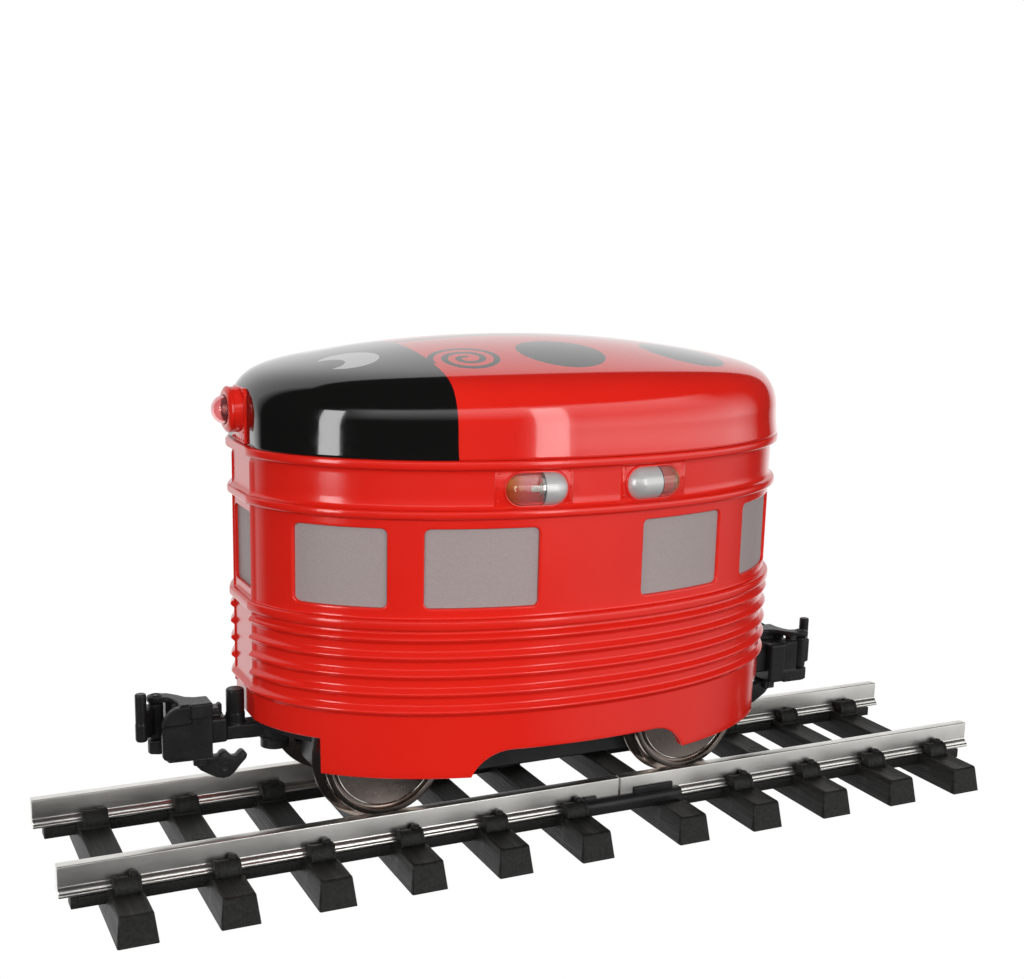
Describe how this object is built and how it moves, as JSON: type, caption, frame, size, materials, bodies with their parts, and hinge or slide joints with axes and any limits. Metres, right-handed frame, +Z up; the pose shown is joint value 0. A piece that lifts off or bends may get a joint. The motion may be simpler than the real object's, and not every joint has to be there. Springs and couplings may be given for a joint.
{
  "type": "electric train set",
  "caption": "Self-propelled oval railcar with ribbed shell, crowned roof and knuckle couplers, standing on two joined sections of sleeper track.",
  "frame": {"origin": "middle of the underside of the ties, on the track centreline", "axes": "+X along the track towards the front of the car, +Y to the left of the car, +Z up"},
  "size_m": [0.3068, 0.1126, 0.1502],
  "materials": {
    "body_red": "high-gloss red moulded plastic",
    "roof_paint": "glossy paint in red and black on moulded plastic",
    "window_silver": "silver-grey metallic paint, satin gloss",
    "lamp_silver": "bright silver paint",
    "lens_clear": "clear moulded lens",
    "led": "clear light-emitting diode",
    "plastic_black": "black moulded plastic, satin",
    "tie_black": "black plastic with moulded wood grain",
    "rail_steel": "bright drawn stainless steel",
    "wheel_metal": "polished nickel plating",
    "screw_steel": "zinc-plated steel",
    "brass": "turned brass",
    "motor_can": "plated steel can",
    "board_green": "green circuit board lacquer",
    "ballast": "cast metal, grey",
    "lead_insulation": "soft wire insulation"
  },
  "bodies": {
    "track": {"tie_strip_front": "tie_black", "tie_strip_rear": "tie_black", "rail_left_front": "rail_steel", "rail_right_front": "rail_steel", "rail_left_rear": "rail_steel", "rail_right_rear": "rail_steel", "rail_joiners": "plastic_black"},
    "car": {"body_shell": "body_red", "roof": "roof_paint", "side_windows_left": "window_silver", "side_windows_right": "window_silver", "front_door_window": "window_silver", "rear_door_window": "window_silver", "lamp_bezels": "body_red", "lamp_housings": "lamp_silver", "lamp_lenses": "lens_clear", "lamp_leds": "led", "headlight_housing": "body_red", "headlight_lens": "lens_clear", "headlight_led": "led", "chassis": "plastic_black", "shell_screws": "screw_steel", "gearbox_upper": "plastic_black", "gearbox_lower": "plastic_black", "gearbox_screws": "screw_steel", "motor": "motor_can", "shaft_bearings": "brass", "axle_bushings": "brass", "wheel_wipers": "brass", "circuit_board": "board_green", "ballast_weights": "ballast", "lighting_leads": "lead_insulation", "motor_leads": "lead_insulation", "drawbar_screw_front": "screw_steel", "drawbar_screw_rear": "screw_steel"},
    "motor_rotor": {"motor_shaft": "screw_steel", "worms": "brass", "flywheels": "brass"},
    "front_wheelset": {"front_axle": "screw_steel", "front_wheels": "wheel_metal", "front_axle_gear": "brass"},
    "rear_wheelset": {"rear_axle": "screw_steel", "rear_wheels": "wheel_metal", "rear_axle_gear": "brass"},
    "front_coupler": {"drawbar_front": "plastic_black", "coupler_head_front": "plastic_black", "knuckle_pin_front": "screw_steel", "lever_pin_front": "screw_steel"},
    "front_knuckle": {"knuckle_front": "plastic_black"},
    "front_lever": {"release_lever_front": "plastic_black"},
    "rear_coupler": {"drawbar_rear": "plastic_black", "coupler_head_rear": "plastic_black", "knuckle_pin_rear": "screw_steel", "lever_pin_rear": "screw_steel"},
    "rear_knuckle": {"knuckle_rear": "plastic_black"},
    "rear_lever": {"release_lever_rear": "plastic_black"}
  },
  "joints": [
    {"name": "car_travel", "type": "slide", "parent": "track", "child": "car", "axis": [1, 0, 0], "range_m": [-0.1, 0.08]},
    {"name": "front_axle_spin", "type": "hinge", "parent": "car", "child": "front_wheelset", "pos_m": [0.0623, 0, 0.034], "axis": [0, 1, 0], "range_deg": [-320, 256]},
    {"name": "rear_axle_spin", "type": "hinge", "parent": "car", "child": "rear_wheelset", "pos_m": [-0.0375, 0, 0.034], "axis": [0, 1, 0], "range_deg": [-320, 256]},
    {"name": "motor_spin", "type": "hinge", "parent": "car", "child": "motor_rotor", "pos_m": [0.0124, 0, 0.045], "axis": [1, 0, 0], "range_deg": [-6380, 5110]},
    {"name": "front_coupler_swing", "type": "hinge", "parent": "car", "child": "front_coupler", "pos_m": [0.0874, 0, 0.038], "axis": [0, 0, 1], "range_deg": [-12, 12]},
    {"name": "front_knuckle_open", "type": "hinge", "parent": "front_coupler", "child": "front_knuckle", "pos_m": [0.1206, -0.0046, 0.042], "axis": [0, 0, -1], "range_deg": [0, 40], "stiffness_Nm_per_rad": 0.0005},
    {"name": "front_lever_lift", "type": "hinge", "parent": "front_coupler", "child": "front_lever", "pos_m": [0.11, 0, 0.0308], "axis": [0, 1, 0], "range_deg": [0, 15]},
    {"name": "rear_coupler_swing", "type": "hinge", "parent": "car", "child": "rear_coupler", "pos_m": [-0.0626, 0, 0.038], "axis": [0, 0, 1], "range_deg": [-12, 12]},
    {"name": "rear_knuckle_open", "type": "hinge", "parent": "rear_coupler", "child": "rear_knuckle", "pos_m": [-0.0958, 0.0046, 0.042], "axis": [0, 0, -1], "range_deg": [0, 40], "stiffness_Nm_per_rad": 0.0005},
    {"name": "rear_lever_lift", "type": "hinge", "parent": "rear_coupler", "child": "rear_lever", "pos_m": [-0.0852, 0, 0.0308], "axis": [0, -1, 0], "range_deg": [0, 15]}
  ],
  "couplings": [
    {"joint": "front_axle_spin", "follows": "car_travel", "rad_per_m": 55.556},
    {"joint": "rear_axle_spin", "follows": "car_travel", "rad_per_m": 55.556},
    {"joint": "motor_spin", "follows": "car_travel", "rad_per_m": 1111.1}
  ]
}
